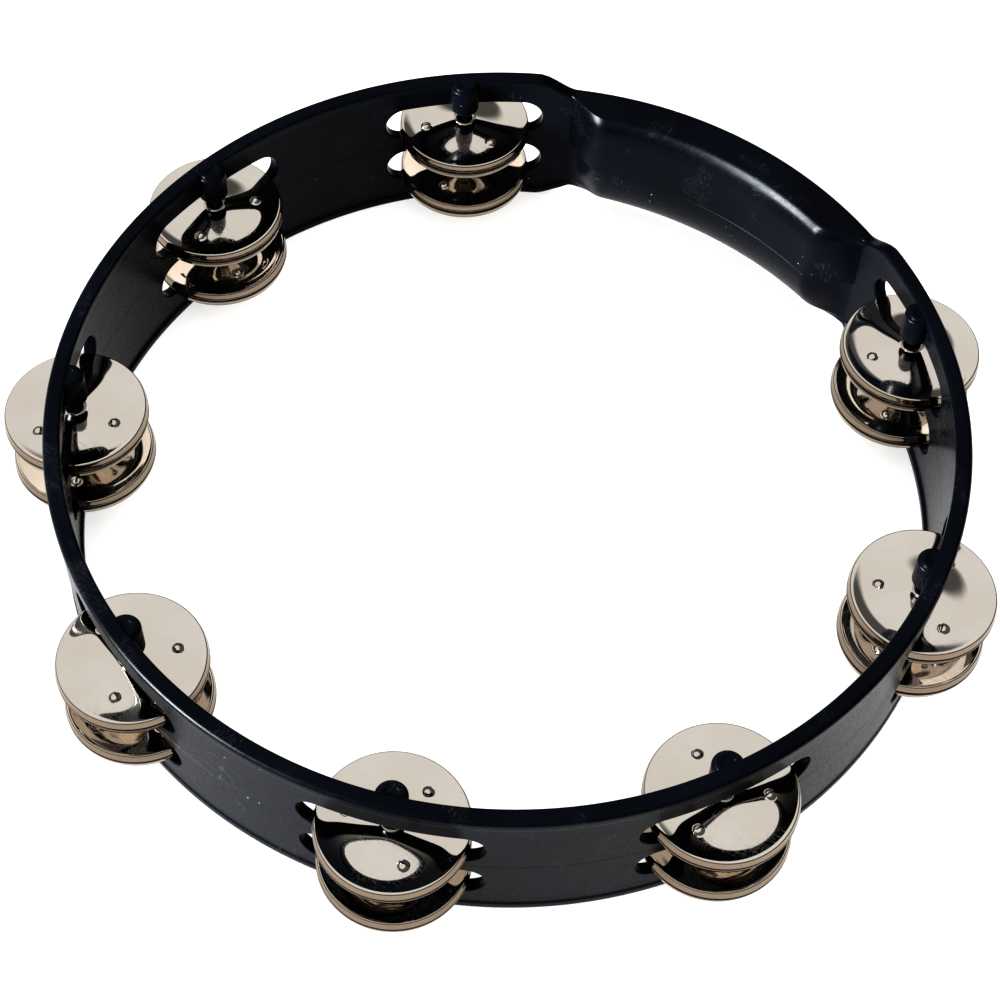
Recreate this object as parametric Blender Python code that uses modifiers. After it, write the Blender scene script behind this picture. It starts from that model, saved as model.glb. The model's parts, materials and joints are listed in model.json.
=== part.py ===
"""Headless ring tambourine with a moulded hand grip, lying flat.

The hoop is two plastic mouldings that meet at mid height. Eight stations round
it each have two slots, one above the other, and a steel pin through both. A
pair of dished jingles rides on the pin in every slot.

Metres, +Z up. The grip's centre is at +Y, the hoop's underside at z = 0, and the
origin is under the middle of the whole object's bounding box.
"""

import math

import bmesh
import bpy

MM = 0.001

# ---- driving dimensions, in millimetres --------------------------------------
HOOP_R = 127.0  # outer radius over the rim flanges: a 10 inch hoop
HOOP_H = 50.0  # overall height
WALL_OUT = 126.6  # wall, outer radius
WALL_IN = 123.0  # wall, inner radius
RIM_IN = 122.2  # rim bead, inner radius
RIM_FLAT_IN = 122.8  # flat top face, from here
RIM_FLAT_OUT = 126.0  # to here
SEAM_GAP = 0.3  # running gap left between the two mouldings

GRIP_ANGLE = 90.0  # degrees, centre of the grip
GRIP_IN = 112.4  # inner face of the grip at the seam
GRIP_TOP = 20.3  # height of the grip over mid height, at its ends
GRIP_CROWN = 0.8  # and how much more at its middle
SHOULDER = (115.8, 7.5)  # crease of the upper half's flat top, and the shoulder's height
GRIP_WALL = 2.4  # wall of the hollow grip
RIM_DIP = (23.8, 29.4)  # offsets where the rim drops into the grip
BULGE = (18.5, 24.6)  # offsets where the grip's inner face ramps back to the wall

STATIONS = [130.0, 170.0, 210.0, 250.0, 290.0, 330.0, 10.0, 50.0]
PIN_R = 122.0  # pin circle
SLOT_HALF = 24.5
SLOT_H = 12.2
SLOT_PITCH = 18.2
BOSS_R = 4.3
NOSE_R = 2.9
NOSE_LEN = 1.9
PIN_RAD = 0.95
PIN_HOLE = 1.25
PIN_END = 1.5  # pin end's distance from the hoop's face

JINGLE_R = 20.3  # rim of a jingle
JINGLE_SHOULDER = 19.6
JINGLE_HOLE = 2.4
JINGLE_CROWN = 0.65  # height of the dish's centre over its shoulder
JINGLE_RIM = 2.2  # depth of the rim band
JINGLE_T = 0.6  # sheet
JINGLE_SIDES = 16
PAIR_H = 5.2  # between the two shoulders of a pair
FLOOR_GAP = 0.3  # lower jingle's centre over the slot's floor

MID = HOOP_H / 2
SLOT_MID = {"upper": MID + SLOT_PITCH / 2, "lower": MID - SLOT_PITCH / 2}
# The hoop's centre is behind the origin, so that the origin is under the middle
# of the box that the jingles and the grip span.
_front = PIN_R * math.sin(math.radians(STATIONS[4])) - JINGLE_R
RING_Y = -(_front + HOOP_R) / 2

# ---- materials ---------------------------------------------------------------


def principled(name, colour, roughness, metallic):
    made = bpy.data.materials.new(name)
    made.use_nodes = True
    shader = made.node_tree.nodes["Principled BSDF"]
    shader.inputs["Base Color"].default_value = (*colour, 1.0)
    shader.inputs["Roughness"].default_value = roughness
    shader.inputs["Metallic"].default_value = metallic
    made.diffuse_color = (*colour, 1.0)
    return made


# ---- scene and collections ---------------------------------------------------

for old in list(bpy.data.objects):
    bpy.data.objects.remove(old, do_unlink=True)

PARTS = bpy.data.collections.new("tambourine")
CUTTERS = bpy.data.collections.new("cutters")
bpy.context.scene.collection.children.link(PARTS)
bpy.context.scene.collection.children.link(CUTTERS)


def link(obj, collection):
    for used in list(obj.users_collection):
        used.objects.unlink(obj)
    collection.objects.link(obj)
    return obj


def helper(obj):
    """Marks an object as a cutter or a join piece: it isn't part of the model."""
    link(obj, CUTTERS)
    obj.hide_render = True
    obj.display_type = "WIRE"
    return obj


def evaluated_mesh(obj):
    bpy.context.view_layer.update()
    graph = bpy.context.evaluated_depsgraph_get()
    return bpy.data.meshes.new_from_object(obj.evaluated_get(graph))


# ---- small geometry helpers --------------------------------------------------


def smooth(t):
    t = min(1.0, max(0.0, t))
    return t * t * (3.0 - 2.0 * t)


def on_ring(angle, radius, z):
    """World point, in metres, at an angle in degrees and a radius about the hoop's axis."""
    a = math.radians(angle)
    return (
        radius * math.cos(a) * MM,
        (RING_Y + radius * math.sin(a)) * MM,
        z * MM,
    )


def loft(name, sections, closed):
    """Joins sections of equal point count, in order; capped at both ends when not closed."""
    mesh = bpy.data.meshes.new(name)
    bm = bmesh.new()
    rings = [[bm.verts.new(p) for p in section] for section in sections]
    count = len(rings)
    for i in range(count if closed else count - 1):
        one, two = rings[i], rings[(i + 1) % count]
        for k in range(len(one)):
            n = (k + 1) % len(one)
            bm.faces.new((one[k], one[n], two[n], two[k]))
    if not closed:
        bm.faces.new(rings[0])
        bm.faces.new(list(reversed(rings[-1])))
    bmesh.ops.recalc_face_normals(bm, faces=bm.faces)
    bm.to_mesh(mesh)
    bm.free()
    obj = bpy.data.objects.new(name, mesh)
    PARTS.objects.link(obj)
    return obj


def turned(name, profile, sides, start=0.0):
    """A profile of (radius, z), in millimetres, down the outer side, turned about +Z."""
    mesh = bpy.data.meshes.new(name + "_profile")
    a = math.radians(start)
    mesh.from_pydata(
        [(r * math.cos(a) * MM, r * math.sin(a) * MM, z * MM) for r, z in profile],
        [(k, k + 1) for k in range(len(profile) - 1)],
        [],
    )
    obj = bpy.data.objects.new(name, mesh)
    PARTS.objects.link(obj)
    screw = obj.modifiers.new("turn", "SCREW")
    screw.axis = "Z"
    screw.steps = sides
    screw.render_steps = sides
    screw.use_merge_vertices = True
    screw.merge_threshold = 0.00001
    return obj


def baked(obj, name):
    """The object's evaluated mesh as a new mesh, with doubles welded; the object goes."""
    mesh = evaluated_mesh(obj)
    mesh.name = name
    bm = bmesh.new()
    bm.from_mesh(mesh)
    bmesh.ops.remove_doubles(bm, verts=bm.verts, dist=0.000002)
    bmesh.ops.recalc_face_normals(bm, faces=bm.faces)
    bm.to_mesh(mesh)
    bm.free()
    bpy.data.objects.remove(obj, do_unlink=True)
    return mesh


def gathered(name, mesh, places):
    """One helper object that holds a copy of the mesh at each (x, y, z, angle)."""
    bm = bmesh.new()
    for x, y, z, angle in places:
        start = len(bm.verts)
        bm.from_mesh(mesh)
        bm.verts.ensure_lookup_table()
        new = bm.verts[start:]
        c, s = math.cos(math.radians(angle)), math.sin(math.radians(angle))
        for vert in new:
            vx, vy, vz = vert.co
            vert.co = (c * vx - s * vy + x, s * vx + c * vy + y, vz + z)
    made = bpy.data.meshes.new(name)
    bm.to_mesh(made)
    bm.free()
    obj = bpy.data.objects.new(name, made)
    return helper(obj)


def boolean(obj, other, operation):
    step = obj.modifiers.new(other.name, "BOOLEAN")
    step.operation = operation
    step.solver = "EXACT"
    step.object = other


# ---- hoop sections -----------------------------------------------------------
# Both lists run from the seam up the outside, over the top and down the inside,
# as (radius, height over mid height), and match point for point.

HOOP_SECTION = [
    (WALL_OUT, 0.0),
    (WALL_OUT, 21.2),
    (HOOP_R, 21.7),
    (HOOP_R, 24.0),
    (RIM_FLAT_OUT, 25.0),
    (RIM_FLAT_IN, 25.0),
    (RIM_IN, 24.4),
    (RIM_IN, 22.5),
    (WALL_IN, 22.0),
    (WALL_IN, 15.0),
    (WALL_IN, 7.5),
    (WALL_IN, 0.0),
]


def grip_section(side, top):
    """Half of the hand grip, point for point with the hoop's section.

    The upper half has a flat top that ends in a crease, a rounded shoulder and a
    flat inner face. The lower half is a quarter of an ellipse down to its edge.
    """
    points = [
        (HOOP_R, 0.0),
        (HOOP_R, top - 3.4),
        (HOOP_R, top - 2.0),
        (HOOP_R - 0.5, top - 0.6),
        (HOOP_R - 2.0, top),
    ]
    if side > 0:
        crease, fall = SHOULDER
        points.append((crease, top))
        middle, across, up = GRIP_IN + 4.6, 4.4, fall + 0.4
        for a in (52.0, 32.0, 13.0, 0.0):
            c = math.radians(a)
            points.append(
                (middle - across * math.cos(c), top - fall + up * math.sin(c))
            )
        points.append((GRIP_IN + 0.1, 6.0))
        points.append((GRIP_IN, 0.0))
    else:
        for a in (75.0, 59.0, 44.0, 31.0, 19.0, 9.0, 0.0):
            c = math.radians(a)
            points.append((GRIP_IN + 11.6 * (1.0 - math.cos(c)), top * math.sin(c)))
    return points


def section(offset, side):
    """The closed outline of one half at an angle from the grip's centre."""
    away = abs(offset)
    rim = 1.0 - smooth((away - RIM_DIP[0]) / (RIM_DIP[1] - RIM_DIP[0]))
    run = min(1.0, max(0.0, (BULGE[1] - away) / (BULGE[1] - BULGE[0])))
    bulge = math.sin(run * math.pi / 2) if side > 0 else smooth(run)
    top = GRIP_TOP + GRIP_CROWN * (1.0 - min(1.0, away / RIM_DIP[0]) ** 2)
    out = []
    for k, (one, two) in enumerate(zip(HOOP_SECTION, grip_section(side, top))):
        if k < 5:
            radius = one[0] + (two[0] - one[0]) * rim
            height = one[1] + (two[1] - one[1]) * rim
        else:
            # The inner side keeps the wall's outline, lowered with the rim, until
            # the ramp begins.
            low = one[1] - (MID - top) * rim * smooth((one[1] - 6.0) / 15.0)
            radius = one[0] + (two[0] - one[0]) * bulge
            height = low + (two[1] - low) * bulge
        out.append((radius, height))
    out[0] = (out[0][0], SEAM_GAP / 2)
    out[-1] = (out[-1][0], SEAM_GAP / 2)
    return [
        on_ring(GRIP_ANGLE + offset, r, MID + side * h)
        for r, h in (out if side > 0 else reversed(out))
    ]


def offsets():
    near = [0, 5, 10, 14.5, 18.5, 19.8, 21.2, 22.6, 23.8, 24.6, 25.6, 26.6, 27.6, 28.5]
    steps = 30
    first = RIM_DIP[1]
    near.append(first)
    far = [first + (180.0 - first) * i / steps for i in range(1, steps + 1)]
    half = near + far
    return half + [-a for a in reversed(half[1:-1])]


# ---- cutters and join pieces -------------------------------------------------


def slot_cutter_mesh():
    """A bar with round ends, lying along X through the wall, centred on its axis."""
    curve = bpy.data.curves.new("slot_outline", "CURVE")
    curve.dimensions = "2D"
    curve.fill_mode = "BOTH"
    curve.extrude = 10.0 * MM
    spline = curve.splines.new("POLY")
    round_r = SLOT_H / 2
    points = []
    for end in (1, -1):
        for i in range(9):
            a = math.radians(-90.0 + 180.0 * i / 8)
            points.append(
                (
                    end * (SLOT_HALF - round_r + round_r * math.cos(a)) * MM,
                    end * round_r * math.sin(a) * MM,
                )
            )
    spline.points.add(len(points) - 1)
    for point, (u, v) in zip(spline.points, points):
        point.co = (u, v, 0.0, 1.0)
    spline.use_cyclic_u = True
    obj = bpy.data.objects.new("slot_outline", curve)
    PARTS.objects.link(obj)
    # The outline's plane stands up: its length along Y, its height along Z, its
    # thickness along X, the radial direction.
    mesh = evaluated_mesh(obj)
    bpy.data.objects.remove(obj, do_unlink=True)
    for vert in mesh.vertices:
        u, v, w = vert.co
        vert.co = (w, u, v)
    bm = bmesh.new()
    bm.from_mesh(mesh)
    bmesh.ops.remove_doubles(bm, verts=bm.verts, dist=0.000002)
    bmesh.ops.recalc_face_normals(bm, faces=bm.faces)
    bm.to_mesh(mesh)
    bm.free()
    return mesh


def around(z, radius=PIN_R):
    return [(*on_ring(a, radius, z), a) for a in STATIONS]


slot_mesh = slot_cutter_mesh()
slots = {
    key: gathered("slots_" + key, slot_mesh, around(SLOT_MID[key], 125.0))
    for key in ("upper", "lower")
}

slot_top = {key: SLOT_MID[key] + SLOT_H / 2 for key in SLOT_MID}
slot_floor = {key: SLOT_MID[key] - SLOT_H / 2 for key in SLOT_MID}


def boss_mesh(name, low, high, nose, recess):
    """A round boss from low to high; a nose tapers down from low; a recess sinks its top."""
    profile = [(0.0, high)]
    if recess:
        profile = [(0.0, high - 0.3), (2.7, high - 0.3), (3.0, high)]
    profile += [(BOSS_R - 0.4, high), (BOSS_R, high - 0.4), (BOSS_R, low)]
    if nose:
        profile += [(NOSE_R, low - NOSE_LEN), (0.0, low - NOSE_LEN)]
    else:
        profile += [(0.0, low)]
    return baked(turned(name, profile, 16), name)


SEAM_UP = MID + SEAM_GAP / 2
SEAM_DOWN = MID - SEAM_GAP / 2
top_boss = boss_mesh("top_boss", slot_top["upper"], HOOP_H - 0.15, True, True)
web_boss_up = boss_mesh("web_boss_up", SEAM_UP, slot_floor["upper"] - 0.05, False, False)
web_boss_down = boss_mesh("web_boss_down", slot_top["lower"], SEAM_DOWN, True, False)
base_boss = boss_mesh("base_boss", 0.15, slot_floor["lower"] - 0.05, False, False)

bosses = {
    1: [
        gathered("top_bosses", top_boss, around(0.0)),
        gathered("web_bosses_upper", web_boss_up, around(0.0)),
    ],
    -1: [
        gathered("web_bosses_lower", web_boss_down, around(0.0)),
        gathered("base_bosses", base_boss, around(0.0)),
    ],
}

pin_hole = baked(
    turned(
        "pin_hole",
        [(0.0, HOOP_H - 1.2), (PIN_HOLE, HOOP_H - 1.2), (PIN_HOLE, 1.2), (0.0, 1.2)],
        12,
    ),
    "pin_hole",
)
pin_holes = gathered("pin_holes", pin_hole, around(0.0))


def grip_cavity():
    """The hollow inside the grip, open at the seam: one body that both halves lose."""
    high_w = HOOP_R - GRIP_WALL
    low_w = GRIP_IN + GRIP_WALL
    top = GRIP_TOP - GRIP_WALL

    def quarter(side):
        points = [(high_w, top - 2.0), (high_w - 1.4, top)]
        reach = 4.0 if side > 0 else high_w - 1.4 - low_w
        fall = 7.0 if side > 0 else top
        for a in (70.0, 48.0, 28.0, 10.0):
            c = math.radians(a)
            points.append(
                (low_w + reach * (1.0 - math.cos(c)), top - fall + fall * math.sin(c))
            )
        return points

    upper, lower = quarter(1), quarter(-1)
    profile = upper + [(r, -h) for r, h in reversed(lower)]
    rows = [
        [on_ring(GRIP_ANGLE - 17.5 + 5.0 * i, r, MID + h) for r, h in profile]
        for i in range(8)
    ]
    return helper(loft("grip_cavity", rows, closed=False))


cavity = grip_cavity()

# ---- the two hoop halves -----------------------------------------------------

plastic = principled("hoop_plastic", (0.012, 0.013, 0.015), 0.28, 0.0)
nickel = principled("jingle_nickel", (0.78, 0.75, 0.70), 0.12, 1.0)
steel = principled("pin_steel", (0.62, 0.61, 0.60), 0.25, 1.0)


def finish(obj, material, sharp=35.0):
    obj.data.materials.clear()
    obj.data.materials.append(material)
    obj.data.shade_smooth()
    obj.data.set_sharp_from_angle(angle=math.radians(sharp))
    return obj


for name, side, key in (
    ("hoop_upper_half", 1, "upper"),
    ("hoop_lower_half", -1, "lower"),
):
    half = loft(name, [section(a, side) for a in offsets()], closed=True)
    finish(half, plastic)
    boolean(half, cavity, "DIFFERENCE")
    boolean(half, slots[key], "DIFFERENCE")
    for group in bosses[side]:
        boolean(half, group, "UNION")
    boolean(half, pin_holes, "DIFFERENCE")

# ---- pins --------------------------------------------------------------------

pin_mesh = baked(
    turned(
        "pin",
        [
            (0.0, HOOP_H - PIN_END),
            (PIN_RAD - 0.2, HOOP_H - PIN_END),
            (PIN_RAD, HOOP_H - PIN_END - 0.3),
            (PIN_RAD, PIN_END + 0.3),
            (PIN_RAD - 0.2, PIN_END),
            (0.0, PIN_END),
        ],
        12,
    ),
    "pin",
)
for number, angle in enumerate(STATIONS, 1):
    pin = bpy.data.objects.new(f"pin_{number}", pin_mesh)
    PARTS.objects.link(pin)
    pin.location = on_ring(angle, PIN_R, 0.0)
    if number == 1:
        finish(pin, steel)

# ---- jingles -----------------------------------------------------------------
# Each jingle's origin is on its pin's axis, level with the middle of its pair.


def jingle_profile():
    """The upper jingle of a pair, dish down, as (radius, height over mid pair)."""
    top = PAIR_H / 2
    return [
        (JINGLE_HOLE, top + JINGLE_CROWN),
        (JINGLE_SHOULDER, top),
        (JINGLE_R, top - JINGLE_RIM),
        (JINGLE_R - JINGLE_T, top - JINGLE_RIM),
        (JINGLE_SHOULDER - JINGLE_T, top - JINGLE_T),
        (JINGLE_HOLE, top + JINGLE_CROWN - JINGLE_T),
        (JINGLE_HOLE, top + JINGLE_CROWN),
    ]


upper_dish = baked(turned("dish_down", jingle_profile(), JINGLE_SIDES), "dish_down")
lower_dish = baked(
    turned("dish_up", [(r, -z) for r, z in reversed(jingle_profile())], JINGLE_SIDES),
    "dish_up",
)

shared = {}
for number, angle in enumerate(STATIONS, 1):
    for row in ("upper", "lower"):
        pair_mid = slot_floor[row] + FLOOR_GAP + JINGLE_CROWN + PAIR_H / 2
        for place, mesh in (("top", upper_dish), ("bottom", lower_dish)):
            obj = bpy.data.objects.new(f"jingle_{number}_{row}_{place}", mesh)
            PARTS.objects.link(obj)
            obj.location = on_ring(angle, PIN_R, pair_mid)
            if place not in shared:
                shared[place] = finish(obj, nickel)

bpy.context.view_layer.update()
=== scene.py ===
"""Looks for the ring tambourine: fine hoop mouldings, pins and jingles round the CAD frame."""

import json
import math

import bmesh
import bpy
from mathutils import Matrix, Vector

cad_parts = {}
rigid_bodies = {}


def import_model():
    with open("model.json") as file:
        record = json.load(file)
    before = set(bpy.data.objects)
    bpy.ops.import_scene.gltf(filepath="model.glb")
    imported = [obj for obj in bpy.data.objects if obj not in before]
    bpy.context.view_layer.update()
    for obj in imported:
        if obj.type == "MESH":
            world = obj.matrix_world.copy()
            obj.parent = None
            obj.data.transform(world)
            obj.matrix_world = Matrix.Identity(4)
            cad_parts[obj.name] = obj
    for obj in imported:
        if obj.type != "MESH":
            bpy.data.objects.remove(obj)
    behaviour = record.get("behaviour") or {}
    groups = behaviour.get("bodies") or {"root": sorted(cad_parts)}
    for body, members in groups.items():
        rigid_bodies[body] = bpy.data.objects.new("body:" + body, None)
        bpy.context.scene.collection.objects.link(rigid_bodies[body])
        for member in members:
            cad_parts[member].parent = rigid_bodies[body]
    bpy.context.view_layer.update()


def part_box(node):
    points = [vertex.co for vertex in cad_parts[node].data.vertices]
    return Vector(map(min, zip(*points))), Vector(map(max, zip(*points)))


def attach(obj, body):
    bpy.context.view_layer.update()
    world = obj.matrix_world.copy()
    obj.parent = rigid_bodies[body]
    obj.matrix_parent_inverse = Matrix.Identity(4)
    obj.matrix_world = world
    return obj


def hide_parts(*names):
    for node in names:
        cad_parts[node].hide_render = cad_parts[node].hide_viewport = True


for old in list(bpy.data.objects):
    bpy.data.objects.remove(old, do_unlink=True)

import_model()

MM = 0.001

# ---- dimensions from the frame, in millimetres -------------------------------

_lo, _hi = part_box("hoop_upper_half")
RING_Y = (_lo.y + _hi.y) / 2 / MM
HOOP_R = (_hi.x - _lo.x) / 2 / MM
HOOP_H = _hi.z / MM
MID = HOOP_H / 2
_lo, _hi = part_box("pin_1")
PIN_LOW, PIN_HIGH = _lo.z / MM, _hi.z / MM

WALL_OUT = HOOP_R - 0.4
WALL_IN = HOOP_R - 4.0
SLOT_MID = 9.1
SLOT_R = 6.1
SLOT_STRAIGHT = 18.4
FILLET = 0.5
PIN_R = 122.0
PIN_RAD = 0.95
STATIONS = {}
for number in range(1, 9):
    lo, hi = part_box(f"pin_{number}")
    x, y = (lo.x + hi.x) / 2 / MM, (lo.y + hi.y) / 2 / MM - RING_Y
    STATIONS[number] = math.degrees(math.atan2(y, x)) % 360.0
    PIN_R = math.hypot(x, y)

GRIP_ANGLE = 90.0
GRIP_IN = 112.4
GRIP_TOP = 20.3
GRIP_CROWN = 0.8
RIM_DIP = (23.8, 29.4)
BULGE = (18.5, 24.6)
WINDOW = [1.0 + 1.35 * i for i in range(13)]
SPAN = 13  # degrees each side of a station that its slot patch covers


def smooth(t):
    t = min(1.0, max(0.0, t))
    return t * t * (3.0 - 2.0 * t)


def on_ring(angle, radius, z):
    a = math.radians(angle)
    return Vector(
        (radius * math.cos(a) * MM, (RING_Y + radius * math.sin(a)) * MM, z * MM)
    )


def arc(cx, cy, r, a0, a1, steps):
    out = []
    for i in range(steps + 1):
        a = math.radians(a0 + (a1 - a0) * i / steps)
        out.append((cx + r * math.cos(a), cy + r * math.sin(a)))
    return out


# ---- materials ---------------------------------------------------------------


class Nodes:
    """A small helper for building a node material."""

    def __init__(self, name):
        self.mat = bpy.data.materials.new(name)
        self.mat.use_nodes = True
        self.tree = self.mat.node_tree
        self.shader = self.tree.nodes["Principled BSDF"]

    def add(self, kind, **values):
        node = self.tree.nodes.new(kind)
        for key, value in values.items():
            setattr(node, key, value)
        return node

    def put(self, node, **values):
        for key, value in values.items():
            node.inputs[key.replace("_", " ")].default_value = value
        return node

    def link(self, a, b):
        self.tree.links.new(a, b)

    def coords(self, scale=(1, 1, 1)):
        tex = self.add("ShaderNodeTexCoord")
        mapping = self.add("ShaderNodeMapping")
        mapping.inputs["Scale"].default_value = scale
        self.link(tex.outputs["Object"], mapping.inputs["Vector"])
        return mapping.outputs["Vector"]

    def noise(self, vector, scale, detail=3.0, rough=0.5, distort=0.0):
        node = self.add("ShaderNodeTexNoise")
        self.put(node, Scale=scale, Detail=detail, Roughness=rough, Distortion=distort)
        self.link(vector, node.inputs["Vector"])
        return node.outputs["Fac"]

    def ramp(self, value, low, high, a=0.0, b=1.0):
        node = self.add("ShaderNodeMapRange", interpolation_type="SMOOTHSTEP")
        node.inputs["From Min"].default_value = low
        node.inputs["From Max"].default_value = high
        node.inputs["To Min"].default_value = a
        node.inputs["To Max"].default_value = b
        self.link(value, node.inputs["Value"])
        return node.outputs["Result"]

    def math(self, op, a, b):
        node = self.add("ShaderNodeMath", operation=op)
        for socket, value in zip(node.inputs, (a, b)):
            if isinstance(value, (int, float)):
                socket.default_value = value
            else:
                self.link(value, socket)
        return node.outputs["Value"]

    def mix(self, factor, a, b):
        node = self.add("ShaderNodeMix", data_type="RGBA")
        self.link(factor, node.inputs["Factor"])
        for socket, value in ((node.inputs[6], a), (node.inputs[7], b)):
            if isinstance(value, tuple):
                socket.default_value = (*value, 1.0)
            else:
                self.link(value, socket)
        return node.outputs[2]

    def bump(self, height, strength, distance, normal=None):
        node = self.add("ShaderNodeBump")
        node.inputs["Strength"].default_value = strength
        node.inputs["Distance"].default_value = distance
        self.link(height, node.inputs["Height"])
        if normal is not None:
            self.link(normal, node.inputs["Normal"])
        return node.outputs["Normal"]

    def scratches(self, vector, scale, stretch, width, turn, keep):
        """Thin short lines: a stretched noise's narrow band, kept in patches."""
        mapping = self.add("ShaderNodeMapping")
        mapping.inputs["Rotation"].default_value = turn
        mapping.inputs["Scale"].default_value = stretch
        self.link(vector, mapping.inputs["Vector"])
        value = self.noise(mapping.outputs["Vector"], scale, 1.0, 0.4, 0.6)
        off = self.math("ABSOLUTE", self.math("SUBTRACT", value, 0.5), 0.0)
        line = self.ramp(off, 0.0, width, 1.0, 0.0)
        where = self.ramp(self.noise(vector, scale * 0.35, 2.0), keep, keep + 0.07)
        return self.math("MULTIPLY", line, where)


def plastic_material():
    m = Nodes("hoop_plastic")
    v = m.coords()
    broad = m.noise(v, 26.0, 3.0)
    fine = m.noise(v, 900.0, 2.0)
    grain = m.noise(v, 3200.0, 2.0)
    tone = m.ramp(broad, 0.35, 0.7)
    base = m.mix(tone, (0.0007, 0.0011, 0.0021), (0.0013, 0.0019, 0.0036))
    marks = m.math(
        "MAXIMUM",
        m.scratches(v, 150.0, (1.0, 22.0, 1.0), 0.010, (0.3, 0.2, 0.6), 0.60),
        m.scratches(v, 180.0, (20.0, 1.0, 1.5), 0.010, (1.1, 0.5, 2.1), 0.60),
    )
    specks = m.add("ShaderNodeTexVoronoi", feature="F1")
    specks.inputs["Scale"].default_value = 260.0
    m.link(v, specks.inputs["Vector"])
    dot = m.ramp(specks.outputs["Distance"], 0.02, 0.075, 1.0, 0.0)
    some = m.ramp(m.noise(v, 75.0, 1.0), 0.63, 0.66)
    speck = m.math("MULTIPLY", dot, some)
    wear = m.math("MAXIMUM", m.math("MULTIPLY", marks, 0.12), speck)
    colour = m.mix(wear, base, (0.22, 0.23, 0.25))
    m.link(colour, m.shader.inputs["Base Color"])
    rough = m.ramp(fine, 0.2, 0.8, 0.19, 0.28)
    rough = m.math("ADD", rough, m.ramp(broad, 0.3, 0.75, 0.0, 0.07))
    rough = m.math("ADD", rough, m.math("MULTIPLY", marks, 0.1))
    m.link(rough, m.shader.inputs["Roughness"])
    normal = m.bump(grain, 0.10, 0.00006)
    normal = m.bump(m.noise(v, 240.0, 2.0), 0.10, 0.0003, normal)
    normal = m.bump(m.math("SUBTRACT", 1.0, marks), 0.15, 0.00005, normal)
    m.link(normal, m.shader.inputs["Normal"])
    m.shader.inputs["Specular IOR Level"].default_value = 0.07
    m.shader.inputs["Specular Tint"].default_value = (0.87, 0.93, 1.0, 1.0)
    return m.mat


def nickel_material():
    m = Nodes("jingle_nickel")
    v = m.coords()
    # Rings round the jingle's own centre: the piece's origin is on its pin's axis.
    split = m.add("ShaderNodeSeparateXYZ")
    m.link(v, split.inputs["Vector"])
    square = m.math(
        "ADD",
        m.math("MULTIPLY", split.outputs["X"], split.outputs["X"]),
        m.math("MULTIPLY", split.outputs["Y"], split.outputs["Y"]),
    )
    radius = m.math("SQRT", square, 0.0)
    angle = m.math("ARCTAN2", split.outputs["Y"], split.outputs["X"])
    polar = m.add("ShaderNodeCombineXYZ")
    m.link(m.math("MULTIPLY", radius, 1.0), polar.inputs["X"])
    m.link(m.math("MULTIPLY", angle, 0.0012), polar.inputs["Y"])
    m.link(m.math("MULTIPLY", split.outputs["Z"], 1.0), polar.inputs["Z"])
    rings = m.noise(polar.outputs["Vector"], 2600.0, 2.0)
    cloud = m.noise(v, 55.0, 3.0)
    blotch = m.ramp(m.noise(v, 110.0, 4.0, 0.6), 0.50, 0.75)
    base = m.mix(m.ramp(cloud, 0.3, 0.7), (0.735, 0.675, 0.610), (0.785, 0.735, 0.675))
    base = m.mix(m.math("MULTIPLY", blotch, 0.30), base, (0.66, 0.585, 0.505))
    # Painted shade: the outer rim band is darkened to a dark tan to stand in for the darker
    # reflection the rim shows; the metal there has no such colour.
    rim = m.ramp(radius, 0.01945, 0.01968)
    base = m.mix(m.math("MULTIPLY", rim, 0.9), base, (0.17, 0.125, 0.085))
    marks = m.math(
        "MAXIMUM",
        m.scratches(v, 130.0, (1.0, 9.0, 1.0), 0.005, (0.0, 0.0, 0.5), 0.52),
        m.scratches(v, 150.0, (9.0, 1.0, 1.0), 0.005, (0.0, 0.0, 1.2), 0.54),
    )
    base = m.mix(m.math("MULTIPLY", marks, 0.22), base, (0.52, 0.49, 0.46))
    m.link(base, m.shader.inputs["Base Color"])
    m.shader.inputs["Metallic"].default_value = 1.0
    rough = m.ramp(m.noise(v, 70.0, 4.0, 0.6), 0.3, 0.75, 0.020, 0.050)
    rough = m.math("ADD", rough, m.math("MULTIPLY", rings, 0.02))
    rough = m.math("ADD", rough, m.math("MULTIPLY", marks, 0.12))
    m.link(rough, m.shader.inputs["Roughness"])
    normal = m.bump(rings, 0.05, 0.00002)
    normal = m.bump(m.noise(v, 60.0, 2.0), 0.10, 0.0004, normal)
    normal = m.bump(m.math("SUBTRACT", 1.0, marks), 0.12, 0.00002, normal)
    m.link(normal, m.shader.inputs["Normal"])
    return m.mat


def steel_material():
    m = Nodes("pin_steel")
    v = m.coords()
    drawn = m.noise(m.coords((1.0, 1.0, 0.04)), 5200.0, 2.0)
    cloud = m.noise(v, 160.0, 3.0)
    m.link(
        m.mix(m.ramp(cloud, 0.3, 0.7), (0.56, 0.55, 0.54), (0.70, 0.69, 0.68)),
        m.shader.inputs["Base Color"],
    )
    m.shader.inputs["Metallic"].default_value = 1.0
    rough = m.math("ADD", m.ramp(cloud, 0.3, 0.7, 0.16, 0.24), m.math("MULTIPLY", drawn, 0.08))
    m.link(rough, m.shader.inputs["Roughness"])
    m.link(m.bump(drawn, 0.15, 0.00002), m.shader.inputs["Normal"])
    return m.mat


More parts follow.
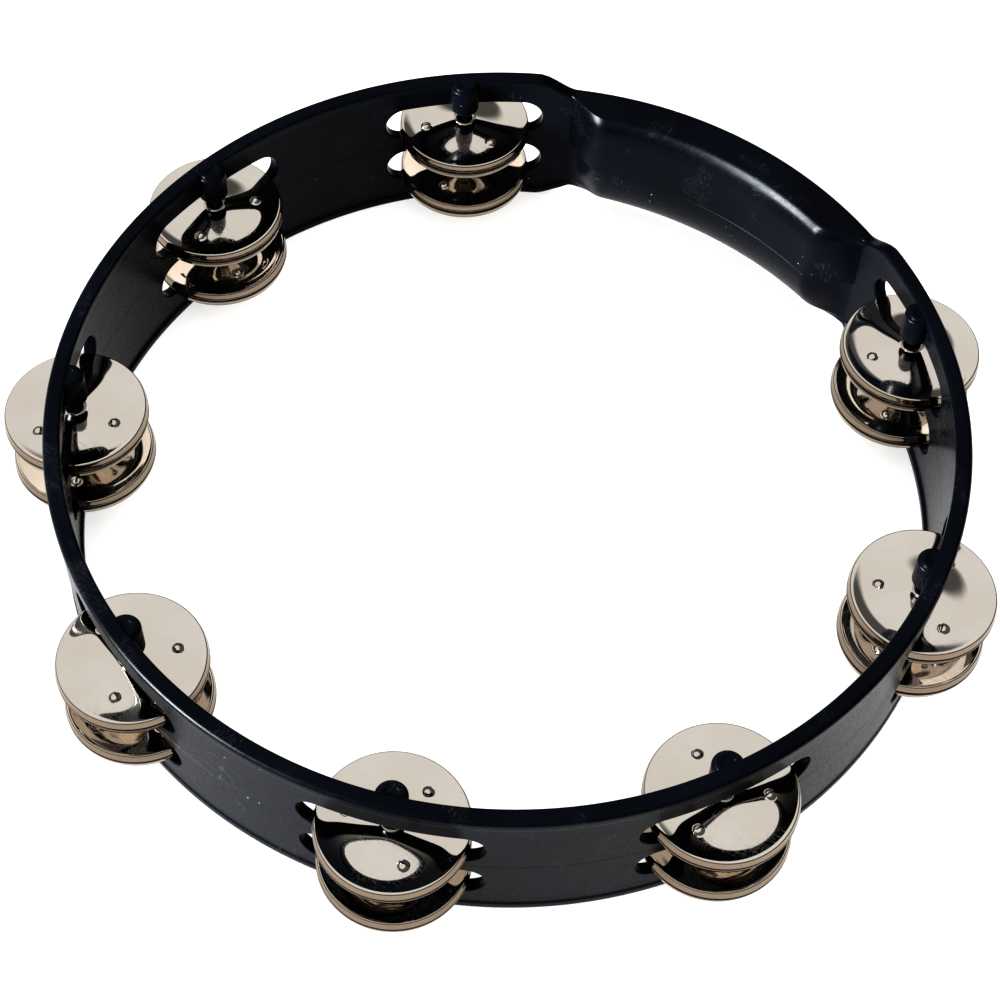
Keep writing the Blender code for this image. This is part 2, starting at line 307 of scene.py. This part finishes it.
def floor_material():
    m = Nodes("studio_floor")
    v = m.coords()
    soft = m.noise(v, 14.0, 3.0)
    m.link(
        m.mix(m.ramp(soft, 0.3, 0.7), (0.72, 0.72, 0.72), (0.75, 0.75, 0.75)),
        m.shader.inputs["Base Color"],
    )
    m.link(m.ramp(m.noise(v, 700.0, 2.0), 0.3, 0.7, 0.6, 0.7), m.shader.inputs["Roughness"])
    m.shader.inputs["Specular IOR Level"].default_value = 0.1
    # A lit white table: some of its light comes from below.
    m.shader.inputs["Emission Color"].default_value = (1.0, 1.0, 1.0, 1.0)
    m.shader.inputs["Emission Strength"].default_value = 0.35
    m.link(m.bump(m.noise(v, 2500.0, 2.0), 0.04, 0.0001), m.shader.inputs["Normal"])
    return m.mat


PLASTIC = plastic_material()
NICKEL = nickel_material()
STEEL = steel_material()

# ---- hoop halves -------------------------------------------------------------


def hoop_rows():
    """Outline of half the hoop, from the seam up the outside and down the inside."""
    rows = [(WALL_OUT - 0.07, 0.01), (WALL_OUT, 0.08)]
    rows += [(WALL_OUT, h) for h in WINDOW]
    rows += [
        (WALL_OUT + 0.4 * smooth(t), 20.9 + 1.2 * t) for t in (0, 0.25, 0.5, 0.75, 1)
    ]
    rows += arc(HOOP_R - 1.3, 23.7, 1.3, 0, 90, 6)
    rows += [(125.0, 25.0), (124.5, 25.0), (124.0, 25.0)]
    rows += arc(123.0, 24.2, 0.8, 90, 180, 4)
    rows += [
        (122.2, 23.5),
        (122.2, 22.8),
        (122.28, 22.5),
        (122.55, 22.28),
        (122.85, 22.15),
        (123.0, 21.8),
    ]
    rows += [(WALL_IN, 19.5)]
    rows += [(WALL_IN, h) for h in reversed(WINDOW)]
    rows += [(WALL_IN, 0.08), (WALL_IN + 0.07, 0.01)]
    return rows


HOOP_ROWS = hoop_rows()
OUTER = 2 + 13 + 5 + 7


def grip_rows(side, top):
    """Outline of half the grip, row for row with the hoop's."""
    rows = [(HOOP_R - 0.07, 0.01), (HOOP_R, 0.08)]
    rows += [(HOOP_R, h) for h in WINDOW]
    rows += [(HOOP_R, top - 2.9 + 0.2 * i) for i in range(5)]
    rows += arc(HOOP_R - 2.0, top - 2.0, 2.0, 0, 90, 6)
    if side > 0:
        middle, across, up, fall = GRIP_IN + 4.6, 4.4, 7.9, 7.5

        def bow(a):
            c = math.radians(a)
            return middle - across * math.cos(c), top - fall + up * math.sin(c)

        rows += [(122.9, top), (120.6, top), (118.2, top)]
        p0, p1, p2 = (116.0, top), (115.62, top), bow(67.0)
        for t in (0, 0.25, 0.5, 0.75, 1):
            rows.append(
                tuple(
                    (1 - t) ** 2 * a + 2 * t * (1 - t) * b + t * t * c
                    for a, b, c in zip(p0, p1, p2)
                )
            )
        rows += [bow(a) for a in (61, 55, 49, 43, 37, 31, 25, 18, 11, 4)]
        low = top - fall - 0.4
        for i in range(10):
            h = low + (1.0 - low) * i / 9
            rows.append((GRIP_IN + 0.2 * h / 13.0, h))
    else:
        rows += [(124.6, top), (124.3, top), (124.0, top)]
        for k in range(1, 26):
            c = math.radians(90.0 - 87.2 * k / 25)
            rows.append((GRIP_IN + 11.6 * (1.0 - math.cos(c)), top * math.sin(c)))
    rows += [(GRIP_IN, 0.08), (GRIP_IN + 0.07, 0.01)]
    return rows


def section(angle, side):
    away = abs((angle - GRIP_ANGLE + 180.0) % 360.0 - 180.0)
    rim = 1.0 - smooth((away - RIM_DIP[0]) / (RIM_DIP[1] - RIM_DIP[0]))
    run = min(1.0, max(0.0, (BULGE[1] - away) / (BULGE[1] - BULGE[0])))
    bulge = math.sin(run * math.pi / 2) if side > 0 else smooth(run)
    top = GRIP_TOP + GRIP_CROWN * (1.0 - min(1.0, away / RIM_DIP[0]) ** 2)
    fade = smooth((25.5 - away) / 1.6)
    free = smooth((27.0 - away) / 2.0)
    out = []
    for k, (one, two) in enumerate(zip(HOOP_ROWS, grip_rows(side, top))):
        r1, h1 = one
        if k < OUTER:
            out.append((r1 + (two[0] - r1) * rim, h1 + (two[1] - h1) * rim))
            continue
        if r1 < 123.9 and h1 > 21.0:
            r1 += (WALL_IN - 122.2) * fade * (1.0 if r1 <= 122.95 else 0.9)
            r1 = min(r1, 123.95) if h1 > 24.9 else min(r1, max(one[0], WALL_IN + 0.8))
            if h1 < 24.25:
                r1 = min(r1, WALL_IN)
        low = h1 - (MID - top) * rim * smooth((h1 - 6.0) / 15.0) * (
            free if h1 < 17.3 else 1.0
        )
        out.append((r1 + (two[0] - r1) * bulge, low + (two[1] - low) * bulge))
    return out


def columns():
    fine = [63.0, 63.4, 63.8, 64.2]
    fine += [64.4 + 0.2 * k for k in range(21)]
    fine += [68.8 + 0.4 * k for k in range(11)] + [73.5]
    out = [float(a) for a in range(0, 63)] + fine
    out += [float(a) for a in range(74, 107)]
    out += [180.0 - a for a in reversed(fine)]
    out += [float(a) for a in range(118, 360)]
    return [round(a, 4) for a in out]


def stadium(offset):
    """The slot's outline, 76 points, from the middle of its lower left corner."""
    r = SLOT_R + offset
    out = []

    def turn(end, a0, a1, steps):
        for i in range(steps):
            a = math.radians(a0 + (a1 - a0) * i / steps)
            out.append(
                (end * SLOT_STRAIGHT + r * math.cos(a), SLOT_MID + r * math.sin(a))
            )

    def straight(t0, t1, h, steps):
        for i in range(steps):
            out.append((t0 + (t1 - t0) * i / steps, h))

    turn(-1, 225, 270, 6)
    straight(-SLOT_STRAIGHT, SLOT_STRAIGHT, SLOT_MID - r, 14)
    turn(1, 270, 405, 18)
    turn(1, 45, 90, 6)
    straight(SLOT_STRAIGHT, -SLOT_STRAIGHT, SLOT_MID + r, 14)
    turn(-1, 90, 135, 6)
    turn(-1, 135, 225, 12)
    return out


def half_mesh(name, side):
    bm = bmesh.new()
    cols = columns()
    grid = [
        [bm.verts.new(on_ring(a, r, MID + side * h)) for r, h in section(a, side)]
        for a in cols
    ]
    count, rows = len(cols), len(HOOP_ROWS)
    index = {a: i for i, a in enumerate(cols)}
    outer0 = 2
    inner0 = rows - 2 - 13
    covered = set()
    for angle in STATIONS.values():
        start = int(round(angle)) - SPAN
        for j in range(2 * SPAN):
            col = index[float((start + j) % 360)]
            for first in (outer0, inner0):
                for i in range(12):
                    covered.add((col, first + i))
    for c in range(count):
        n = (c + 1) % count
        for k in range(rows):
            m = (k + 1) % rows
            if (c, k) in covered:
                continue
            bm.faces.new((grid[c][k], grid[n][k], grid[n][m], grid[c][m]))

    def patch(angle, first, up, wall, depth_sign):
        """Fills one window round a slot; returns the loop at the slot's edge."""
        start = int(round(angle)) - SPAN
        col = [index[float((start + j) % 360)] for j in range(2 * SPAN + 1)]
        row = [first + i if up else first + 12 - i for i in range(13)]
        loop = [grid[col[j]][row[0]] for j in range(26)]
        loop += [grid[col[26]][row[i]] for i in range(12)]
        loop += [grid[col[26 - j]][row[12]] for j in range(26)]
        loop += [grid[col[0]][row[12 - i]] for i in range(12)]
        flat = [(-SPAN + j, WINDOW[0]) for j in range(26)]
        flat += [(SPAN, WINDOW[i]) for i in range(12)]
        flat += [(SPAN - j, WINDOW[12]) for j in range(26)]
        flat += [(-SPAN, WINDOW[12 - i]) for i in range(12)]

        def ring_of(points, radius):
            return [
                bm.verts.new(on_ring(angle + a, radius, MID + side * h))
                for a, h in points
            ]

        def bent(offset, radius):
            return [
                (math.degrees(math.asin(t / radius)), h) for t, h in stadium(offset)
            ]

        near = bent(FILLET + 0.45, wall)
        half = [
            ((a + b) / 2, (g + h) / 2) for (a, g), (b, h) in zip(flat, near)
        ]
        rings = [loop, ring_of(half, wall), ring_of(near, wall)]
        for phi in (0, 22.5, 45, 67.5, 90):
            c = math.radians(phi)
            offset = FILLET * (1 - math.sin(c))
            radius = wall + depth_sign * FILLET * (1 - math.cos(c))
            rings.append(ring_of(bent(offset, radius), radius))
        for one, two in zip(rings, rings[1:]):
            for k in range(76):
                n = (k + 1) % 76
                bm.faces.new((one[k], one[n], two[n], two[k]))
        return rings[-1]

    for angle in STATIONS.values():
        away = abs(angle - GRIP_ANGLE)
        a = patch(angle, outer0, True, WALL_OUT, -1)
        b = patch(angle, inner0, False, WALL_IN, 1)
        for k in range(76):
            n = (k + 1) % 76
            bm.faces.new((a[k], a[n], b[n], b[k]))
    bmesh.ops.recalc_face_normals(bm, faces=bm.faces)
    mesh = bpy.data.meshes.new(name)
    bm.to_mesh(mesh)
    bm.free()
    return mesh


def lathe(name, profile, sides, closed):
    """Turns (radius, z) points about +Z; an open profile starts and ends on the axis."""
    bm = bmesh.new()
    rings = []
    for r, z in profile:
        if r < 1e-6:
            rings.append([bm.verts.new((0, 0, z * MM))])
            continue
        rings.append(
            [
                bm.verts.new(
                    (
                        r * math.cos(2 * math.pi * i / sides) * MM,
                        r * math.sin(2 * math.pi * i / sides) * MM,
                        z * MM,
                    )
                )
                for i in range(sides)
            ]
        )
    pairs = list(zip(rings, rings[1:]))
    if closed:
        pairs.append((rings[-1], rings[0]))
    for one, two in pairs:
        for i in range(sides):
            n = (i + 1) % sides
            if len(one) == 1:
                bm.faces.new((one[0], two[n], two[i]))
            elif len(two) == 1:
                bm.faces.new((one[i], one[n], two[0]))
            else:
                bm.faces.new((one[i], one[n], two[n], two[i]))
    bmesh.ops.recalc_face_normals(bm, faces=bm.faces)
    mesh = bpy.data.meshes.new(name)
    bm.to_mesh(mesh)
    bm.free()
    return mesh


def gathered(name, items):
    """One object with each (mesh, z) set at every station."""
    bm = bmesh.new()
    for mesh, z in items:
        for angle in STATIONS.values():
            start = len(bm.verts)
            bm.from_mesh(mesh)
            bm.verts.ensure_lookup_table()
            centre = on_ring(angle, PIN_R, z)
            turn = Matrix.Rotation(math.radians(angle), 3, "Z")
            for vert in bm.verts[start:]:
                vert.co = turn @ vert.co + centre
    made = bpy.data.meshes.new(name)
    bm.to_mesh(made)
    bm.free()
    obj = bpy.data.objects.new(name, made)
    bpy.context.scene.collection.objects.link(obj)
    return obj


def boss(name, low, high, nose):
    """A round boss in absolute z. A nose tapers down from low; the cap has a stepped,
    rounded edge and a shallow recess."""
    profile = [(0.0, high)]
    if nose and high > 45:
        profile = [(0.0, high - 0.25)]
        profile += arc(1.95, high - 0.15, 0.1, 270, 360, 3)
        profile += [(2.1, high - 0.02), (2.25, high)]
        profile += arc(3.05, high - 0.35, 0.35, 90, 0, 4)
        profile += [(3.4, high - 0.6), (3.44, high - 0.66), (3.52, high - 0.7)]
        profile += arc(3.6, high - 1.4, 0.7, 90, 0, 6)
    else:
        profile += [(4.3, high)]
    profile += [(4.3, low)]
    if nose:
        profile += [(4.26, low - 0.12), (3.12, low - 1.62)]
        profile += [(3.02, low - 1.78), (2.86, low - 1.88), (2.7, low - 1.9)]
        profile += [(0.0, low - 1.9)]
    else:
        profile += [(0.0, low)]
    return lathe(name, profile, 64, False)


def modifier(obj, other, operation):
    step = obj.modifiers.new(other.name, "BOOLEAN")
    step.operation = operation
    step.solver = "EXACT"
    step.object = other


def settle(obj):
    """Applies the object's modifiers."""
    bpy.context.view_layer.update()
    graph = bpy.context.evaluated_depsgraph_get()
    mesh = bpy.data.meshes.new_from_object(obj.evaluated_get(graph))
    obj.modifiers.clear()
    obj.data = mesh


def dress(obj, material, sharp):
    obj.data.materials.clear()
    obj.data.materials.append(material)
    obj.data.shade_smooth()
    obj.data.set_sharp_from_angle(angle=math.radians(sharp))


SLOT_TOP = {1: MID + SLOT_MID + SLOT_R, -1: MID - SLOT_MID + SLOT_R}
SLOT_LOW = {1: MID + SLOT_MID - SLOT_R, -1: MID - SLOT_MID - SLOT_R}
hole = lathe(
    "pin_hole",
    [(0.0, HOOP_H - 1.4), (1.08, HOOP_H - 1.4), (1.08, 1.4), (0.0, 1.4)],
    32,
    False,
)

for name, side in (("hoop_upper", 1), ("hoop_lower", -1)):
    half = bpy.data.objects.new(name, half_mesh(name, side))
    bpy.context.scene.collection.objects.link(half)
    if side > 0:
        bosses = [
            (boss("cap", SLOT_TOP[1], HOOP_H - 0.15, True), 0.0),
            (boss("web", MID + 0.05, SLOT_LOW[1] - 0.05, False), 0.0),
        ]
    else:
        bosses = [
            (boss("web", SLOT_TOP[-1], MID - 0.05, True), 0.0),
            (boss("base", 0.15, SLOT_LOW[-1] - 0.05, False), 0.0),
        ]
    joined = gathered(name + "_bosses", bosses)
    bores = gathered(name + "_bores", [(hole, 0.0)])
    modifier(half, joined, "UNION")
    modifier(half, bores, "DIFFERENCE")
    settle(half)
    for helper in (joined, bores):
        bpy.data.objects.remove(helper, do_unlink=True)
    dress(half, PLASTIC, 32.0)
    half.modifiers.new("weighted", "WEIGHTED_NORMAL").keep_sharp = True
    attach(half, "hoop")
    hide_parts(name + "_half")

# ---- pins --------------------------------------------------------------------

pin_profile = [(0.0, PIN_HIGH)]
pin_profile += arc(PIN_RAD - 0.3, PIN_HIGH - 0.3, 0.3, 90, 0, 4)
pin_profile += [(PIN_RAD, z) for z in (42.0, 36.0, 30.0, 25.0, 20.0, 14.0, 8.0)]
pin_profile += arc(PIN_RAD - 0.3, PIN_LOW + 0.3, 0.3, 0, -90, 4)
pin_profile += [(0.0, PIN_LOW)]
pin_mesh = lathe("pin", pin_profile, 48, False)
for number, angle in STATIONS.items():
    pin = bpy.data.objects.new(f"rod_{number}", pin_mesh)
    bpy.context.scene.collection.objects.link(pin)
    pin.location = on_ring(angle, PIN_R, 0.0)
    if number == 1:
        dress(pin, STEEL, 40.0)
    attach(pin, "hoop")
    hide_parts(f"pin_{number}")

# ---- jingles -----------------------------------------------------------------

BUMP_R = 12.2
BUMP_HALF = 1.6

# Slope of the dish, in degrees down towards the rim, by radius: it is domed round its
# hole, flat at 15 mm, and turns up a little towards its edge.
SLOPES = (
    (3.2, 7.5),
    (4.5, 9.5),
    (6.0, 10.4),
    (8.0, 10.4),
    (10.0, 9.6),
    (12.0, 7.4),
    (13.2, 4.4),
    (14.2, 0.8),
    (14.8, -2.0),
    (15.5, -5.4),
    (16.3, -8.8),
    (17.2, -11.6),
    (18.2, -13.4),
    (19.1, -14.0),
)
EDGE_R, EDGE_Z = 19.1, 2.6


def slope(r):
    for (r0, s0), (r1, s1) in zip(SLOPES, SLOPES[1:]):
        if r <= r1:
            return s0 + (s1 - s0) * max(0.0, r - r0) / (r1 - r0)
    return SLOPES[-1][1]


def level_at(r, flat=1.0):
    """Height of the dish's face, summed inwards from its edge."""
    parts = 60
    step = (EDGE_R - r) / parts
    total = EDGE_Z
    for i in range(parts):
        total += math.tan(math.radians(flat * slope(r + (i + 0.5) * step))) * step
    return total


def dish(name, bump_height, flat):
    """The upper jingle of a pair, dish down, about the middle of the pair."""

    def face(r):
        return level_at(r, flat)

    neck = face(3.3)
    rows = [(2.4, neck - 0.5, 0), (2.4, neck - 0.3, 0)]
    rows += [(r, z, 0) for r, z in arc(2.8, neck - 0.08, 0.4, 180, 20, 9)]
    rows += [(3.2, face(3.2) + 0.03, 0), (3.34, face(3.34), 0)]
    for r in (3.7, 4.3, 5.0, 5.9, 6.9, 8.0, 9.0, 9.9):
        rows.append((r, face(r), 0))
    for i in range(15):
        r = 10.4 + 3.6 * i / 14
        rows.append((r, face(r), 1))
    for r in (14.4, 14.9, 15.5, 16.1, 16.7, 17.3, 17.9, 18.5):
        rows.append((r, face(r), 0))
    rows += [(19.0, 2.575, 0)]
    rows += [(r, z, 0) for r, z in arc(19.36, 2.12, 0.5, 92, 13.5, 6)]
    rows += [(20.02, 1.5, 0), (20.2, 0.78, 0)]
    rows += [(r, z, 0) for r, z in arc(20.02, 0.66, 0.25, 10, -190, 7)]
    rows += [(19.66, 1.2, 0), (19.46, 1.9, 0), (19.1, 2.1, 0)]
    for r in (17.0, 15.0, 13.0, 11.0, 9.0, 7.0, 5.0, 3.6, 2.9):
        rows.append((r, min(face(max(r, 3.2)), neck) - 0.5, 0))
    turns = []
    for bump in range(3):
        middle = 120.0 * bump
        turns += [middle - 9.1 + 1.3 * i for i in range(15)]
        turns += [middle + 9.1 + 101.8 * i / 24 for i in range(1, 24)]
    bm = bmesh.new()
    grid = []
    for turn in turns:
        a = math.radians(turn)
        line = []
        for r, z, raised in rows:
            if raised:
                near = min(
                    math.hypot(
                        r * math.cos(a) - BUMP_R * math.cos(math.radians(m)),
                        r * math.sin(a) - BUMP_R * math.sin(math.radians(m)),
                    )
                    for m in (0, 120, 240)
                )
                if near < BUMP_HALF:
                    t = near / BUMP_HALF
                    z += bump_height * (1.0 - t * t) ** 0.75 * smooth((1.0 - t) / 0.22)
            line.append(bm.verts.new((r * math.cos(a) * MM, r * math.sin(a) * MM, z * MM)))
        grid.append(line)
    count = len(grid)
    for c in range(count):
        n = (c + 1) % count
        for k in range(len(rows)):
            m = (k + 1) % len(rows)
            bm.faces.new((grid[c][k], grid[n][k], grid[n][m], grid[c][m]))
    bmesh.ops.recalc_face_normals(bm, faces=bm.faces)
    mesh = bpy.data.meshes.new(name)
    bm.to_mesh(mesh)
    bm.free()
    return mesh


DISHES = {"top": dish("dish_down", 1.15, 1.0), "bottom": dish("dish_up", 0.7, 0.55)}
DISHES["bottom"].transform(Matrix.Rotation(math.pi, 4, "X"))

# First bump's direction for the upper pair's top jingle, in degrees, by station,
# and how far that jingle leans and which way.
PHASE = {1: 105.7, 2: 46.7, 3: 132.0, 4: 48.0, 5: 77.7, 6: 31.9, 7: 83.7, 8: 111.7}
LEAN = {
    1: (0.25, 60.0),
    2: (0.35, 200.0),
    3: (0.45, 300.0),
    4: (0.35, 250.0),
    5: (0.3, 280.0),
    6: (0.3, 330.0),
    7: (0.4, 20.0),
    8: (0.3, 100.0),
}
for number, angle in STATIONS.items():
    for row, extra in (("upper", 0.0), ("lower", 47.0)):
        lo1, hi1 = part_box(f"jingle_{number}_{row}_top")
        lo2, hi2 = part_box(f"jingle_{number}_{row}_bottom")
        level = (hi1.z + lo2.z) / 2
        for place in ("top", "bottom"):
            label = f"jingle_{number}_{row}_{place}"
            spot = on_ring(angle, PIN_R, 0.0)
            spot.z = level
            turn = PHASE[number] + extra + (73.0 * number if place == "bottom" else 0.0)
            spin = Matrix.Rotation(math.radians(turn), 4, "Z")
            lean = Matrix.Identity(4)
            if place == "top":
                amount, toward = LEAN[number]
                toward = math.radians(toward + extra * 2)
                axis = Vector((-math.sin(toward), math.cos(toward), 0))
                lean = Matrix.Rotation(math.radians(amount), 4, axis)
            mesh = DISHES[place].copy()
            mesh.transform(lean @ spin)
            disc = bpy.data.objects.new(f"disc_{number}_{row}_{place}", mesh)
            bpy.context.scene.collection.objects.link(disc)
            disc.location = spot
            dress(disc, NICKEL, 50.0)
            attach(disc, label)
            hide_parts(label)
# ---- stage -------------------------------------------------------------------

bm = bmesh.new()
steps = 12
size = 3.0
lines = [
    [
        bm.verts.new((-size + 2 * size * i / steps, -size + 2 * size * j / steps, -0.00005))
        for i in range(steps + 1)
    ]
    for j in range(steps + 1)
]
for j in range(steps):
    for i in range(steps):
        bm.faces.new((lines[j][i], lines[j][i + 1], lines[j + 1][i + 1], lines[j + 1][i]))
floor_mesh = bpy.data.meshes.new("floor")
bm.to_mesh(floor_mesh)
bm.free()
floor = bpy.data.objects.new("floor", floor_mesh)
floor_mesh.materials.append(floor_material())
bpy.context.scene.collection.objects.link(floor)

# The viewer stands off the object's left front: FACING is the way they look.
FACING = math.radians(31.7)


def seen(x, y, z):
    """A point given as right, away and up of the viewer, in millimetres, to metres."""
    c, s = math.cos(FACING), math.sin(FACING)
    return Vector(((c * x - s * y) * MM, (s * x + c * y + RING_Y) * MM, z * MM))


def lamp(name, where, target, size, power, colour=(1, 1, 1), spread=None):
    data = bpy.data.lights.new(name, "AREA")
    data.shape = "RECTANGLE"
    data.size, data.size_y = size
    data.energy = power
    data.color = colour
    if spread:
        data.spread = math.radians(spread)
    obj = bpy.data.objects.new(name, data)
    bpy.context.scene.collection.objects.link(obj)
    start, end = seen(*where), seen(*target)
    obj.location = start
    obj.rotation_euler = (end - start).to_track_quat("-Z", "Y").to_euler()
    return obj


key = lamp("key", (-1400, -640, 640), (0, 0, 0), (0.45, 1.0), 190.0, (1.0, 0.99, 0.97))
top = lamp("top", (0, 200, 2200), (0, 0, 0), (2.2, 2.2), 8.0)
top.visible_glossy = False

# The key light's hard sheen is for the object: the floor stays evenly lit.
lit = bpy.data.collections.new("lit_by_key")
for obj in bpy.data.objects:
    if obj.name in ("hoop_upper", "hoop_lower"):
        lit.objects.link(obj)
key.light_linking.receiver_collection = lit


world = bpy.data.worlds.new("studio")
bpy.context.scene.world = world
world.use_nodes = True
back = world.node_tree.nodes["Background"]
back.inputs["Color"].default_value = (1.0, 0.995, 0.985, 1.0)
# A tent of white cloth: what it throws on the floor is stronger than what it shows.
path = world.node_tree.nodes.new("ShaderNodeLightPath")
power = world.node_tree.nodes.new("ShaderNodeMapRange")
power.inputs["To Max"].default_value = 1.25
world.node_tree.links.new(path.outputs["Is Diffuse Ray"], power.inputs["Value"])
# Polished metal sees the dark skirt of the tent close to the table.
where = world.node_tree.nodes.new("ShaderNodeTexCoord")
height = world.node_tree.nodes.new("ShaderNodeVectorMath")
height.operation = "DOT_PRODUCT"
height.inputs[1].default_value = (-0.28 * math.cos(FACING), -0.28 * math.sin(FACING), 1.0)
skirt = world.node_tree.nodes.new("ShaderNodeMapRange")
skirt.interpolation_type = "SMOOTHSTEP"
skirt.inputs["From Min"].default_value = 0.54
skirt.inputs["From Max"].default_value = 0.64
skirt.inputs["To Min"].default_value = 0.10
skirt.inputs["To Max"].default_value = 0.64
pick = world.node_tree.nodes.new("ShaderNodeMix")
pick.data_type = "FLOAT"
pick.inputs[2].default_value = 0.72
world.node_tree.links.new(where.outputs["Generated"], height.inputs[0])
world.node_tree.links.new(height.outputs["Value"], skirt.inputs["Value"])
world.node_tree.links.new(path.outputs["Is Glossy Ray"], pick.inputs[0])
world.node_tree.links.new(skirt.outputs["Result"], pick.inputs[3])
world.node_tree.links.new(pick.outputs[0], power.inputs["To Min"])
world.node_tree.links.new(power.outputs["Result"], back.inputs["Strength"])

# ---- camera ------------------------------------------------------------------

FOCAL, DISTANCE, PITCH = 2168.5094, 615.315, 0.9571
ROLL, OX, OY = -0.0417, 505.193, 454.2446


def turned(vector, axis, angle):
    return Matrix.Rotation(angle, 3, axis) @ vector


eye = Vector((0, -DISTANCE * math.cos(PITCH), DISTANCE * math.sin(PITCH)))
ahead = -eye.normalized()
right = Vector((1, 0, 0))
up = right.cross(ahead)
tip = math.atan((OY - 500) / FOCAL)
pan = math.atan((OX - 500) / FOCAL)
ahead, up = turned(ahead, right, tip), turned(up, right, tip)
ahead, right = turned(ahead, up, pan), turned(right, up, pan)
right, up = turned(right, ahead, ROLL), turned(up, ahead, ROLL)
pose = Matrix((right, up, -ahead)).transposed().to_4x4()
pose.translation = eye * MM
place = Matrix.Rotation(FACING, 4, "Z")
place.translation = Vector((0, RING_Y * MM, (MID + 0.6) * MM))

camera_data = bpy.data.cameras.new("camera")
camera_data.sensor_width = 36.0
camera_data.lens = FOCAL / 1000 * 36.0
camera_data.clip_start = 0.01
camera = bpy.data.objects.new("camera", camera_data)
bpy.context.scene.collection.objects.link(camera)
camera.matrix_world = place @ pose
bpy.context.scene.camera = camera

bpy.context.scene.view_settings.view_transform = "Standard"
bpy.context.scene.view_settings.look = "High Contrast"
